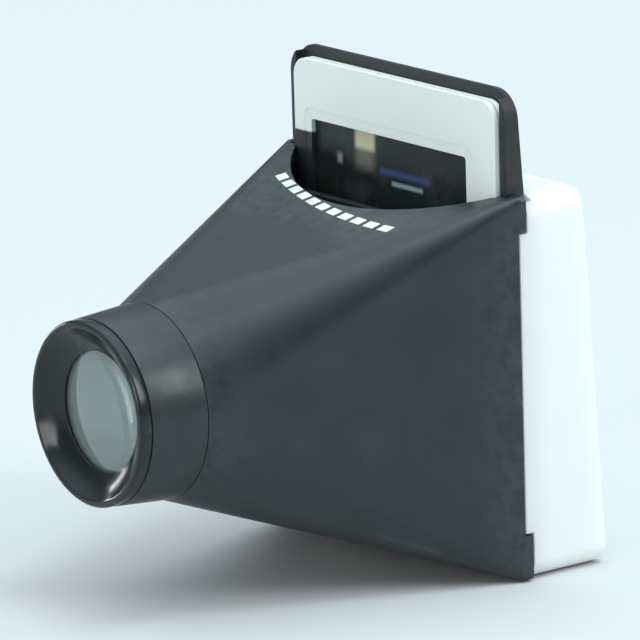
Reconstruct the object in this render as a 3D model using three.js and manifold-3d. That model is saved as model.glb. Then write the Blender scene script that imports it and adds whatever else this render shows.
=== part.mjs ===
// Hand-held daylight slide viewer: a moulded funnel body with an eyepiece at the front,
// a slide carrier that moves up and down at the back, and an opal light box behind it.
// Units are millimetres. +Z is up and the eyepiece points along -Y.
// Inside the group, y = 0 is the back edge of the body's side walls and z = 0 is its lowest edge.
import * as THREE from "three";
import { mergeVertices } from "three/addons/utils/BufferGeometryUtils.js";
import Module from "manifold-3d";

const wasm = await Module();
wasm.setup();

// ---- driving dimensions ----
const GAP = 0.3; // between pieces that touch on the real object
const BEYOND = 1; // how far a cutter reaches past what it cuts
const AXIS_Z = 31.75; // optical axis above the base
const EYE_LENGTH = 60.3; // rim of the eyepiece to the back edge of the side walls
const CIRCLE_SIDES = 64;
const SMALL_CORNER = 1; // corners of the window openings in the gate and the carrier

const BODY = {
  width: 58,
  height: 60,
  wall: 2,
  cornerRear: 1,
  neckRadius: 15.1, // where the neck meets the funnel
  neckY: -48.5,
  rearReach: 1.5, // how far the sill and the top ears reach behind the side walls
  sillTop: 7.2,
  earBottom: 54.5,
};

const BARREL = {
  frontRadius: 14.35,
  boreRadius: 12.4,
  shelfRadius: 10.2,
  shelfY: -52.5,
  spigotRadius: 12.7,
  spigotLength: 3.5,
};

const EYE_RING = {
  flange: 1.8,
  outerRadius: 14.25,
  openingRadius: 9.3,
  openingEdge: 0.3,
  rimWidth: 0.95,
  rimRound: 0.35,
  spigotRadius: 12.1,
  spigotLength: 1.2,
};

const LENS = { radius: 12, sag: 1.35, frontEdgeY: -56.5, backEdgeY: -54.9 };

const LENS_SEAT = { innerRadius: 11, outerRadius: 12.1, frontY: -54.35, backY: -52.8 };

const SLIDE = {
  side: 50,
  thickness: 2,
  frontY: -1.1,
  corner: 3,
  windowWidth: 38.6,
  windowHeight: 31.2,
  windowShiftX: -1.5,
  windowCorner: 0.6,
  filmThickness: 0.2,
  filmMargin: 1.5,
  filmGap: 0.05,
};

const CARRIER = {
  halfWidth: 26.7,
  frontY: -0.4,
  backY: 3,
  topBackY: 1.9,
  top: 75.8,
  travel: 17.3,
  corner: 4.2,
  bottomCorner: 1.5,
  window: 41,
  floorThickness: 4,
  sideClearance: 0.5,
  backClearance: 0.4,
};

const GATE = {
  frontY: -4.2,
  thickness: 1.4,
  halfWidth: 25.2,
  bottom: 4.2,
  top: 53.8,
  windowHalfWidth: 20,
  windowBelowAxis: 20,
  windowAboveAxis: 18,
  corner: 3,
};

const SPRING = { thickness: 0.3, width: 4.4, x: 22.6, bottom: 5.2, foot: 4.6, length: 36, bow: 0.9 };

const SCREW = {
  x: 22.6,
  lowZ: 7.5,
  highZ: 50.8,
  headRadius: 1.7,
  headTopRadius: 1.2,
  headHeight: 0.8,
  headEdge: 0.4,
  shankRadius: 0.9,
  shankLength: 6.5,
  tipRadius: 0.35,
  tipLength: 1,
  clearance: 0.3,
  postRadius: 2.4,
  postLength: 8,
};

const BOX = {
  halfWidth: 28.9,
  top: 59.7,
  bottomDepth: 16.7,
  topDepth: 13.2,
  wall: 2,
  lipWall: 1,
  corner: 3,
  chamberCorner: 1.5,
};

const SCREEN = { frontY: 5.6, thickness: 1, halfWidth: 26.3, corner: 1.8 };

// The depth and half width are measured at the front face of the slide.
const NOTCH = { depth: 11.8, halfWidth: 25, cutHeight: 12 };

const RING_BACK_Y = -EYE_LENGTH + EYE_RING.flange;
const GATE_BACK_Y = GATE.frontY + GATE.thickness;
const SPRING_FOOT_Y = GATE_BACK_Y + GAP / 2;
const SCREW_PLACES = [-1, 1].flatMap((side) =>
  [["lower", SCREW.lowZ], ["upper", SCREW.highZ]].map(([level, z]) => ({
    name: `gate_screw_${level}_${side < 0 ? "left" : "right"}`,
    x: side * SCREW.x,
    z,
  })),
);
// The slide is centred on the optical axis when the carrier is pushed down.
const SLIDE_MID_Z = AXIS_Z + CARRIER.travel;
const SLIDE_BACK_Y = SLIDE.frontY + SLIDE.thickness;
const SLIDE_BOTTOM = SLIDE_MID_Z - SLIDE.side / 2;
const MOUNT_HALF = (SLIDE.thickness - SLIDE.filmThickness) / 2 - SLIDE.filmGap;
const SLOT_HALF_WIDTH = CARRIER.halfWidth + CARRIER.sideClearance;
const SLOT_BACK_Y = CARRIER.backY + CARRIER.backClearance;

// ---- solids ----
function solid(geometry) {
  const bare = geometry.clone();
  bare.deleteAttribute("normal");
  bare.deleteAttribute("uv");
  const merged = mergeVertices(bare, 1e-4);
  return new wasm.Manifold(
    new wasm.Mesh({
      numProp: 3,
      vertProperties: merged.attributes.position.array,
      triVerts: new Uint32Array(merged.index.array),
    }),
  );
}

function geometryOf(manifold) {
  const mesh = manifold.getMesh();
  return new THREE.BufferGeometry()
    .setAttribute("position", new THREE.BufferAttribute(mesh.vertProperties, 3))
    .setIndex(new THREE.BufferAttribute(mesh.triVerts, 1));
}

function box(x0, x1, y0, y1, z0, z1) {
  const shape = new THREE.BoxGeometry(x1 - x0, y1 - y0, z1 - z0);
  return shape.translate((x0 + x1) / 2, (y0 + y1) / 2, (z0 + z1) / 2);
}

// A rounded rectangle as a shape in the XZ plane, drawn from its corner at (x0, z0).
function roundedRectangle(Outline, x0, x1, z0, z1, bottomRadius, topRadius) {
  const outline = new Outline();
  const quarter = Math.PI / 2;
  outline.absarc(x1 - bottomRadius, z0 + bottomRadius, bottomRadius, -quarter, 0);
  outline.absarc(x1 - topRadius, z1 - topRadius, topRadius, 0, quarter);
  outline.absarc(x0 + topRadius, z1 - topRadius, topRadius, quarter, 2 * quarter);
  outline.absarc(x0 + bottomRadius, z0 + bottomRadius, bottomRadius, 2 * quarter, 3 * quarter);
  outline.closePath();
  return outline;
}

// A plate whose outline lies in XZ, from y = front to y = front + thickness.
function plate(outline, front, thickness, curveSegments = 8) {
  const made = new THREE.ExtrudeGeometry(outline, {
    depth: thickness,
    bevelEnabled: false,
    curveSegments,
  });
  return made.rotateX(Math.PI / 2).translate(0, front + thickness, 0);
}

// A bar whose outline, given as [y, z] points, runs along X from x0 to x1.
function barAlongX(points, x0, x1) {
  const outline = new THREE.Shape(points.map(([y, z]) => new THREE.Vector2(y, z)));
  const made = new THREE.ExtrudeGeometry(outline, { depth: x1 - x0, bevelEnabled: false });
  // Extrusion axis to +X, outline x to +Y, outline y to +Z.
  const turn = new THREE.Matrix4().makeBasis(
    new THREE.Vector3(0, 1, 0),
    new THREE.Vector3(0, 0, 1),
    new THREE.Vector3(1, 0, 0),
  );
  return made.applyMatrix4(turn).translate(x0, 0, 0);
}

// A body of revolution about the optical axis. Points are [radius, y].
function turned(points) {
  const profile = points.map(([radius, y]) => new THREE.Vector2(radius, y));
  return new THREE.LatheGeometry(profile, CIRCLE_SIDES).translate(0, 0, AXIS_Z);
}

// ---- the funnel ----
// The funnel is a square-to-round transition: half width, half height, corner radius and centre
// height all change evenly from the neck circle to the rear rectangle.
function funnelSection(y, wall) {
  const along = (y - BODY.neckY) / -BODY.neckY;
  const mix = (front, rear) => front + (rear - front) * along;
  return {
    y,
    halfWidth: mix(BODY.neckRadius, BODY.width / 2) - wall,
    halfHeight: mix(BODY.neckRadius, BODY.height / 2) - wall,
    corner: mix(BODY.neckRadius - wall, BODY.cornerRear),
    midZ: mix(AXIS_Z, BODY.height / 2),
  };
}

function sectionPoints(section, perCorner = 12) {
  const points = [];
  const corners = [[1, -1], [1, 1], [-1, 1], [-1, -1]];
  corners.forEach(([sideX, sideZ], index) => {
    const start = (index - 1) * (Math.PI / 2);
    const centreX = sideX * (section.halfWidth - section.corner);
    const centreZ = section.midZ + sideZ * (section.halfHeight - section.corner);
    for (let step = 0; step <= perCorner; step += 1) {
      const angle = start + (step / perCorner) * (Math.PI / 2);
      const x = centreX + section.corner * Math.cos(angle);
      const z = centreZ + section.corner * Math.sin(angle);
      points.push([x, section.y, z]);
    }
  });
  return points;
}

// A closed loft through sections that all have the same number of points.
function loft(sections) {
  const rings = sections.map((section) => sectionPoints(section));
  const count = rings[0].length;
  const positions = rings.flat();
  const indices = [];
  for (let ring = 0; ring + 1 < rings.length; ring += 1) {
    for (let i = 0; i < count; i += 1) {
      const j = (i + 1) % count;
      const front = ring * count;
      const rear = front + count;
      indices.push(front + i, rear + i, rear + j);
      indices.push(front + i, rear + j, front + j);
    }
  }
  const last = (rings.length - 1) * count;
  for (let i = 1; i + 1 < count; i += 1) {
    indices.push(0, i, i + 1);
    indices.push(last, last + i + 1, last + i);
  }
  const geometry = new THREE.BufferGeometry();
  geometry.setAttribute("position", new THREE.Float32BufferAttribute(positions.flat(), 3));
  geometry.setIndex(indices);
  return geometry;
}

// An upright cylinder that takes the rear of the top wall away in an arc.
function thumbNotch() {
  const radius = (NOTCH.halfWidth ** 2 + NOTCH.depth ** 2) / (2 * NOTCH.depth);
  const cutter = new THREE.CylinderGeometry(radius, radius, NOTCH.cutHeight, 2 * CIRCLE_SIDES);
  return cutter
    .rotateX(Math.PI / 2)
    .translate(0, SLIDE.frontY + radius - NOTCH.depth, BODY.height);
}

// A cylinder along Y at (x, z), from y0 to y1.
function rodAlongY(x, z, radius, y0, y1, sides = 24) {
  const made = new THREE.CylinderGeometry(radius, radius, y1 - y0, sides);
  return made.translate(x, (y0 + y1) / 2, z);
}

function bodyShell() {
  const top = BODY.height;
  const half = BODY.width / 2;
  const outerRear = { ...funnelSection(0, 0), y: BODY.rearReach };
  const outer = solid(loft([funnelSection(BODY.neckY, 0), funnelSection(0, 0), outerRear]));
  const inside = solid(
    loft([
      { ...funnelSection(BODY.neckY, BODY.wall), y: BODY.neckY - BEYOND },
      funnelSection(BODY.neckY, BODY.wall),
      funnelSection(0, BODY.wall),
      { ...funnelSection(0, BODY.wall), y: BODY.rearReach + BEYOND },
    ]),
  );
  const postY = GATE.frontY - GAP;
  const posts = SCREW_PLACES.map(({ x, z }) =>
    solid(rodAlongY(x, z, SCREW.postRadius, postY - SCREW.postLength, postY)).intersect(outer),
  );
  const shell = posts.reduce((walls, post) => walls.add(post), outer.subtract(inside));
  const holeRadius = SCREW.shankRadius + SCREW.clearance;
  const cutTop = top + BEYOND;
  const cutBack = BODY.rearReach + BEYOND;
  const cuts = [
    ...SCREW_PLACES.map(({ x, z }) =>
      rodAlongY(x, z, holeRadius, postY - SCREW.postLength + BEYOND, postY + BEYOND)),
    // slot for the slide and, wider, for its carrier
    box(-SLIDE.side / 2 - GAP, SLIDE.side / 2 + GAP, SLIDE.frontY - GAP, 0, AXIS_Z, cutTop),
    box(-SLOT_HALF_WIDTH, SLOT_HALF_WIDTH, CARRIER.frontY - GAP, cutBack, BODY.wall, cutTop),
    thumbNotch(),
    // the side walls stop at y = 0 between the sill and the ears
    box(-half - BEYOND, half + BEYOND, 0, cutBack, BODY.sillTop, BODY.earBottom),
  ];
  return geometryOf(cuts.reduce((walls, cut) => walls.subtract(solid(cut)), shell));
}

// ---- eyepiece ----
// The barrel is pushed into the round front end of the funnel, and the lens sits in its bore.
function eyepieceBarrel() {
  const front = RING_BACK_Y + GAP;
  const back = BODY.neckY - GAP;
  const spigotEnd = back + BARREL.spigotLength;
  return turned([
    [BARREL.boreRadius, front],
    [BARREL.frontRadius, front],
    [BODY.neckRadius, back],
    [BARREL.spigotRadius, back],
    [BARREL.spigotRadius, spigotEnd],
    [BARREL.shelfRadius, spigotEnd],
    [BARREL.shelfRadius, BARREL.shelfY],
    [BARREL.boreRadius, BARREL.shelfY],
    [BARREL.boreRadius, front],
  ]);
}

// The ring's dish runs down to the lens, and its spigot holds the lens in the barrel.
function eyepieceRing() {
  const rim = -EYE_LENGTH;
  const { outerRadius, openingRadius, openingEdge, rimWidth, rimRound, spigotRadius } = EYE_RING;
  const spigotEnd = RING_BACK_Y + EYE_RING.spigotLength;
  return turned([
    [openingRadius, spigotEnd - openingEdge],
    [outerRadius - rimWidth, rim],
    [outerRadius - rimRound, rim],
    [outerRadius, rim + rimRound],
    [outerRadius, RING_BACK_Y],
    [spigotRadius, RING_BACK_Y],
    [spigotRadius, spigotEnd],
    [openingRadius, spigotEnd],
    [openingRadius, spigotEnd - openingEdge],
  ]);
}

// A lens that bulges equally on both sides.
function eyeLens() {
  const { radius, sag, frontEdgeY, backEdgeY } = LENS;
  const curve = (radius ** 2 + sag ** 2) / (2 * sag);
  const rings = 7;
  const bulgeAt = (r) => Math.sqrt(curve ** 2 - r ** 2) - (curve - sag);
  const front = [];
  const back = [];
  for (let i = 0; i <= rings; i += 1) {
    const r = (radius * i) / rings;
    front.push([r, frontEdgeY - bulgeAt(r)]);
    back.unshift([r, backEdgeY + bulgeAt(r)]);
  }
  return turned([...front, ...back]);
}

function lensSeatRing() {
  const { innerRadius, outerRadius, frontY, backY } = LENS_SEAT;
  return turned([
    [innerRadius, frontY],
    [outerRadius, frontY],
    [outerRadius, backY],
    [innerRadius, backY],
    [innerRadius, frontY],
  ]);
}

// ---- film gate with its two pressure springs ----
function filmGate() {
  const { halfWidth, bottom, top, corner, windowHalfWidth } = GATE;
  const outline = roundedRectangle(THREE.Shape, -halfWidth, halfWidth, bottom, top, corner, corner);
  outline.holes.push(
    roundedRectangle(THREE.Path, -windowHalfWidth, windowHalfWidth,
      AXIS_Z - GATE.windowBelowAxis, AXIS_Z + GATE.windowAboveAxis, SMALL_CORNER, SMALL_CORNER),
  );
  const blank = solid(plate(outline, GATE.frontY, GATE.thickness, 4));
  return geometryOf(
    SCREW_PLACES.reduce((made, place) => made.subtract(solid(screwHole(place))), blank),
  );
}

function screwHole({ x, z }) {
  const radius = SCREW.shankRadius + SCREW.clearance;
  return rodAlongY(x, z, radius, GATE.frontY - BEYOND, SLIDE.frontY);
}

// A leaf spring: a flat foot under the lower screw, then a bow towards the slide.
function pressureSpring(side) {
  const steps = 14;
  const front = [[SPRING_FOOT_Y, SPRING.bottom]];
  const bowStart = SPRING.bottom + SPRING.foot;
  for (let i = 0; i <= steps; i += 1) {
    const along = i / steps;
    const y = SPRING_FOOT_Y + SPRING.bow * Math.sin(Math.PI * along) ** 2;
    front.push([y, bowStart + SPRING.length * along]);
  }
  const back = front.map(([y, z]) => [y + SPRING.thickness, z]).reverse();
  const x0 = side * SPRING.x - SPRING.width / 2;
  const blank = solid(barAlongX([...back, ...front], x0, x0 + SPRING.width));
  const place = { x: side * SCREW.x, z: SCREW.lowZ };
  return geometryOf(blank.subtract(solid(screwHole(place))));
}

// A pan-head screw along Y. Its head is behind the gate and its shank runs forward into a post.
function gateScrew({ x, z }) {
  const headFront = SPRING_FOOT_Y + SPRING.thickness + GAP / 2;
  const { headRadius, headTopRadius, headHeight, headEdge, shankRadius, shankLength } = SCREW;
  const profile = [
    [0, -shankLength],
    [SCREW.tipRadius, -shankLength],
    [shankRadius, SCREW.tipLength - shankLength],
    [shankRadius, 0],
    [headRadius, 0],
    [headRadius, headEdge],
    [headTopRadius, headHeight],
    [0, headHeight],
  ];
  const points = profile.map(([radius, y]) => new THREE.Vector2(radius, y));
  return new THREE.LatheGeometry(points, 20).translate(x, headFront, z);
}

// ---- carrier and slide ----
function slideCarrier() {
  const { halfWidth, corner, bottomCorner, frontY, backY, topBackY, top, window } = CARRIER;
  const bottom = SLIDE_BOTTOM - CARRIER.floorThickness;
  const outline = roundedRectangle(THREE.Shape, -halfWidth, halfWidth, bottom, top,
    bottomCorner, corner);
  outline.holes.push(
    roundedRectangle(THREE.Path, -window / 2, window / 2, SLIDE_MID_Z - window / 2,
      SLIDE_MID_Z + window / 2, SMALL_CORNER, SMALL_CORNER),
  );
  const blank = solid(plate(outline, frontY, backY - frontY));
  // The part above the body tapers: it is thinnest at the top.
  const taper = barAlongX(
    [[frontY - BEYOND, bottom - BEYOND], [backY + BEYOND, bottom - BEYOND],
      [backY + BEYOND, BODY.height], [backY, BODY.height], [topBackY, top],
      [topBackY, top + BEYOND], [frontY - BEYOND, top + BEYOND]],
    -halfWidth - BEYOND, halfWidth + BEYOND,
  );
  const pocketHalf = SLIDE.side / 2 + GAP;
  const pocket = box(-pocketHalf, pocketHalf, frontY - BEYOND, SLIDE_BACK_Y + GAP / 2,
    SLIDE_BOTTOM - GAP / 2, top + BEYOND);
  return geometryOf(blank.intersect(solid(taper)).subtract(solid(pocket)));
}

function mountHalf(frontY, thickness) {
  const half = SLIDE.side / 2;
  const outline = roundedRectangle(THREE.Shape, -half, half, SLIDE_MID_Z - half,
    SLIDE_MID_Z + half, SLIDE.corner, SLIDE.corner);
  const { windowShiftX, windowCorner } = SLIDE;
  const windowHalf = SLIDE.windowWidth / 2;
  const windowRise = SLIDE.windowHeight / 2;
  outline.holes.push(
    roundedRectangle(THREE.Path, windowShiftX - windowHalf, windowShiftX + windowHalf,
      SLIDE_MID_Z - windowRise, SLIDE_MID_Z + windowRise, windowCorner, windowCorner),
  );
  return plate(outline, frontY, thickness, 5);
}

const slideMountFront = () => mountHalf(SLIDE.frontY, MOUNT_HALF);
const slideMountRear = () => mountHalf(SLIDE_BACK_Y - MOUNT_HALF, MOUNT_HALF);

function filmChip() {
  const halfWidth = SLIDE.windowWidth / 2 + SLIDE.filmMargin;
  const halfHeight = SLIDE.windowHeight / 2 + SLIDE.filmMargin;
  const midY = SLIDE.frontY + SLIDE.thickness / 2;
  return box(SLIDE.windowShiftX - halfWidth, SLIDE.windowShiftX + halfWidth,
    midY - SLIDE.filmThickness / 2, midY + SLIDE.filmThickness / 2,
    SLIDE_MID_Z - halfHeight, SLIDE_MID_Z + halfHeight);
}

// ---- opal light box ----
// The box's outside: a rounded rectangle whose back face leans forward towards the top.
function lightBox() {
  const { halfWidth, top, bottomDepth, topDepth, wall, corner, chamberCorner } = BOX;
  const outside = halfWidth + BEYOND;
  const above = top + BEYOND;
  const blank = solid(
    plate(roundedRectangle(THREE.Shape, -halfWidth, halfWidth, 0, top, corner, corner),
      GAP, bottomDepth - GAP),
  );
  const lean = (bottomDepth - topDepth) / top;
  const sidePrism = (inset) => {
    const backAt = (z) => bottomDepth - inset - lean * z;
    return [
      [-BEYOND, -BEYOND], [backAt(-BEYOND), -BEYOND], [backAt(above), above], [-BEYOND, above],
    ];
  };
  const shaped = blank.intersect(solid(barAlongX(sidePrism(0), -outside, outside)));
  const innerHalf = halfWidth - wall;
  const chamber = solid(
    plate(roundedRectangle(THREE.Shape, -innerHalf, innerHalf, wall, top - wall,
      chamberCorner, chamberCorner), 0, bottomDepth),
  ).intersect(solid(barAlongX(sidePrism(wall), -halfWidth, halfWidth)));
  const slotHalf = halfWidth - BOX.lipWall;
  const behindBody = BODY.rearReach + GAP;
  const cuts = [
    // room for the carrier in front of the chamber, open at the top
    box(-slotHalf, slotHalf, -BEYOND, SLOT_BACK_Y, wall + GAP, above),
    // the sill and the ears of the body take the front of the lips
    box(-outside, outside, -BEYOND, behindBody, -BEYOND, BODY.sillTop + GAP),
    box(-outside, outside, -BEYOND, behindBody, BODY.earBottom - GAP, above),
  ];
  return geometryOf(cuts.reduce((shell, cut) => shell.subtract(solid(cut)),
    shaped.subtract(chamber)));
}

function diffuserScreen() {
  const { frontY, thickness, halfWidth, corner } = SCREEN;
  const inset = BOX.wall + GAP;
  const outline = roundedRectangle(THREE.Shape, -halfWidth, halfWidth, inset, BOX.top - inset,
    corner, corner);
  return plate(outline, frontY, thickness, 4);
}

// ---- materials ----
const material = (color, roughness, metalness = 0) =>
  new THREE.MeshStandardMaterial({ color, roughness, metalness });
const blackPlastic = material(0x2c3336, 0.5);
const glossBlack = material(0x1c1f20, 0.25);
const opalPlastic = material(0xf3fbf8, 0.45);
const mountPlastic = material(0xe2ebe4, 0.6);
const springSteel = material(0xb9bcc0, 0.3, 1);
const glass = material(0xdfe9e6, 0.05);
const film = material(0x15161a, 0.2);
const rubber = material(0x202020, 0.8);

// ---- the assembly ----
const viewer = new THREE.Group();
// The middle of the whole length is the origin's y.
viewer.position.y = (EYE_LENGTH - BOX.bottomDepth) / 2;

function add(name, geometry, look) {
  const mesh = new THREE.Mesh(geometry, look);
  mesh.name = name;
  viewer.add(mesh);
}

add("body_shell", bodyShell(), blackPlastic);
add("eyepiece_barrel", eyepieceBarrel(), blackPlastic);
add("eyepiece_ring", eyepieceRing(), glossBlack);
add("eye_lens", eyeLens(), glass);
add("lens_seat_ring", lensSeatRing(), rubber);
add("film_gate", filmGate(), blackPlastic);
add("pressure_spring_left", pressureSpring(-1), springSteel);
add("pressure_spring_right", pressureSpring(1), springSteel);
for (const place of SCREW_PLACES) add(place.name, gateScrew(place), springSteel);
add("slide_carrier", slideCarrier(), blackPlastic);
add("slide_mount_front", slideMountFront(), mountPlastic);
add("slide_mount_rear", slideMountRear(), mountPlastic);
add("film_chip", filmChip(), film);
add("light_box", lightBox(), opalPlastic);
add("diffuser_screen", diffuserScreen(), opalPlastic);

const part = new THREE.Group();
part.add(viewer);

export default part;
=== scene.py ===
"""Looks of a hand-held daylight slide viewer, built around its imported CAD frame."""
import math

import bmesh
import bpy
from mathutils import Matrix, Vector


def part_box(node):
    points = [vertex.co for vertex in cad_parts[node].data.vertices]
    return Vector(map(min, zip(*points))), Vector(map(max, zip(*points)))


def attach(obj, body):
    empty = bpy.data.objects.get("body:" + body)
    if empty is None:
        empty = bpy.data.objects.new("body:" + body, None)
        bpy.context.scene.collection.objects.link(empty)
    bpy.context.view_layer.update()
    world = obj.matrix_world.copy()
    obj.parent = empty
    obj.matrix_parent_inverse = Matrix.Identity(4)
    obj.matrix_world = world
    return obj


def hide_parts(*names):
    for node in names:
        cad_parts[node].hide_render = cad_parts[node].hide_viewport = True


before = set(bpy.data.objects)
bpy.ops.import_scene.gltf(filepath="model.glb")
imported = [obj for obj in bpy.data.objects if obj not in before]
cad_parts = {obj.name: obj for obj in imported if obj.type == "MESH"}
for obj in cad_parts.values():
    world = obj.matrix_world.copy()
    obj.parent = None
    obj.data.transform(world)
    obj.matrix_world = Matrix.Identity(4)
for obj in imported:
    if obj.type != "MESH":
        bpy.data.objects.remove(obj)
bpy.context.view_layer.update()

# ---- sizes, in millimetres ----
# y counts from the back edge of the body's side walls, as in the CAD source, and z from the base.
MM = 0.001
AXIS_Z = 31.75
EYE_LENGTH = 60.3
REAR_REACH = 1.5
WALL_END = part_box("body_shell")[1].y / MM - REAR_REACH
BODY_WIDTH = 58.0
BODY_HEIGHT = 60.0
BODY_WALL = 2.0
NECK_Y = -48.5
NECK_RADIUS = 15.1
REAR_CORNER = 1.0
SILL_TOP = 7.2
EAR_BOTTOM = 54.5
SLIDE_SIDE = 50.0
SLIDE_FRONT = -1.1
SLIDE_BACK = 0.9
SLIDE_CORNER = 3.0
SLIDE_MID_Z = 49.05
WINDOW = (-20.8, 17.8, 33.45, 64.65)  # x and z limits of the mount's window
CARRIER_FRONT = -0.4
SLOT_HALF = 27.2
GAP = 0.3
BEYOND = 1.0  # how far a cutter reaches past the face it cuts

# ---- fineness of the meshes ----
TURNED_SIDES = 160
WELD_DISTANCE = 2e-6  # metres
AXIS_TOLERANCE = 1e-6
SHADING_ANGLE = 38  # degrees; a sharper edge stays a crease


def place(x, y, z):
    """A point given in the drawing's millimetres, in the frame's metres."""
    return Vector((x * MM, (y + WALL_END) * MM, z * MM))


# ---- mesh helpers ----
def shade_smooth(mesh):
    mesh.polygons.foreach_set("use_smooth", [True] * len(mesh.polygons))


def new_object(name, bm):
    """A smooth-shaded object in the scene. It uses up the bmesh."""
    bmesh.ops.recalc_face_normals(bm, faces=bm.faces)
    mesh = bpy.data.meshes.new(name)
    bm.to_mesh(mesh)
    bm.free()
    made = bpy.data.objects.new(name, mesh)
    bpy.context.scene.collection.objects.link(made)
    shade_smooth(mesh)
    return made


def frozen(made):
    """Replaces the object's mesh by what its modifiers make of it."""
    graph = bpy.context.evaluated_depsgraph_get()
    mesh = bpy.data.meshes.new_from_object(made.evaluated_get(graph))
    old = made.data
    made.modifiers.clear()
    made.data = mesh
    mesh.name = made.name
    bpy.data.meshes.remove(old)


def boolean(made, cutter, operation="DIFFERENCE"):
    """Combines the object with the cutter, which is used up."""
    modifier = made.modifiers.new("cut", "BOOLEAN")
    modifier.object = cutter
    modifier.operation = operation
    modifier.solver = "EXACT"
    frozen(made)
    bpy.data.objects.remove(cutter)
    return made


def cleaned(made, split_concave=False):
    """Welds doubled points, and on request splits concave faces into convex ones."""
    bm = bmesh.new()
    bm.from_mesh(made.data)
    bmesh.ops.remove_doubles(bm, verts=bm.verts, dist=WELD_DISTANCE)
    bmesh.ops.dissolve_degenerate(bm, dist=WELD_DISTANCE, edges=bm.edges)
    if split_concave:
        bmesh.ops.connect_verts_concave(bm, faces=bm.faces)
    bm.to_mesh(made.data)
    bm.free()


def bevelled(made, width, segments=3, angle=32):
    """Rounds every edge sharper than the angle and shades the rest smooth."""
    cleaned(made)
    modifier = made.modifiers.new("rounding", "BEVEL")
    modifier.width = width * MM
    modifier.segments = segments
    modifier.limit_method = "ANGLE"
    modifier.angle_limit = math.radians(angle)
    frozen(made)
    cleaned(made, split_concave=True)
    shade_smooth(made.data)
    made.data.set_sharp_from_angle(angle=math.radians(SHADING_ANGLE))
    weighted = made.modifiers.new("even shading", "WEIGHTED_NORMAL")
    weighted.keep_sharp = True
    weighted.weight = 60
    frozen(made)
    return made


def ring_loft(name, rings):
    """A skin, closed at both ends, through rings of points that all have the same count."""
    bm = bmesh.new()
    rows = [[bm.verts.new(place(*point)) for point in ring] for ring in rings]
    count = len(rows[0])
    for near, far in zip(rows, rows[1:]):
        for i in range(count):
            j = (i + 1) % count
            bm.faces.new((near[i], far[i], far[j], near[j]))
    bm.faces.new(list(reversed(rows[0])))
    bm.faces.new(rows[-1])
    return new_object(name, bm)


def circle(mid, radius, sides):
    """Points round a circle, or its one point where the radius is 0."""
    if radius < AXIS_TOLERANCE:
        return [mid]
    angles = [2 * math.pi * i / sides for i in range(sides)]
    return [(mid[0] + radius * math.cos(angle), mid[1] + radius * math.sin(angle)) for angle in angles]


def turned(name, profile, axis=(0, AXIS_Z), sides=TURNED_SIDES):
    """A profile of (radius, y) points turned about a line along Y, closed on itself or on the axis."""
    bm = bmesh.new()
    rows = []
    for radius, y in profile:
        rows.append([bm.verts.new(place(x, y, z)) for x, z in circle(axis, radius, sides)])
    pairs = list(zip(rows, rows[1:]))
    if len(rows[0]) > 1:
        pairs.append((rows[-1], rows[0]))
    for near, far in pairs:
        for i in range(sides):
            j = (i + 1) % sides
            corners = [near[i % len(near)], far[i % len(far)], far[j % len(far)], near[j % len(near)]]
            bm.faces.new(list(dict.fromkeys(corners)))
    return new_object(name, bm)


def rounded_outline(x0, x1, z0, z1, bottom_radius, top_radius, steps=10):
    """Points (x, z) of a rounded rectangle, counter-clockwise from its bottom right corner."""
    corners = [
        (x1 - bottom_radius, z0 + bottom_radius, bottom_radius, -90),
        (x1 - top_radius, z1 - top_radius, top_radius, 0),
        (x0 + top_radius, z1 - top_radius, top_radius, 90),
        (x0 + bottom_radius, z0 + bottom_radius, bottom_radius, 180),
    ]
    points = []
    for cx, cz, radius, start in corners:
        for i in range(steps + 1):
            angle = math.radians(start + 90 * i / steps)
            points.append((cx + radius * math.cos(angle), cz + radius * math.sin(angle)))
    return points


def plate(name, outline, front, back):
    """A plate whose outline lies in XZ. back is a y, or a function of z."""
    back_at = back if callable(back) else lambda z: back
    rings = [
        [(x, front, z) for x, z in outline],
        [(x, back_at(z), z) for x, z in outline],
    ]
    return ring_loft(name, rings)


def block(x0, x1, y0, y1, z0, z1):
    """A box to cut with."""
    outline = [(x1, z0), (x1, z1), (x0, z1), (x0, z0)]
    return plate("cutter", outline, y0, y1)


def rod(x, z, radius, y0, y1):
    """A round rod along Y."""
    return plate("cutter", circle((x, z), radius, 32), y0, y1)


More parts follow.
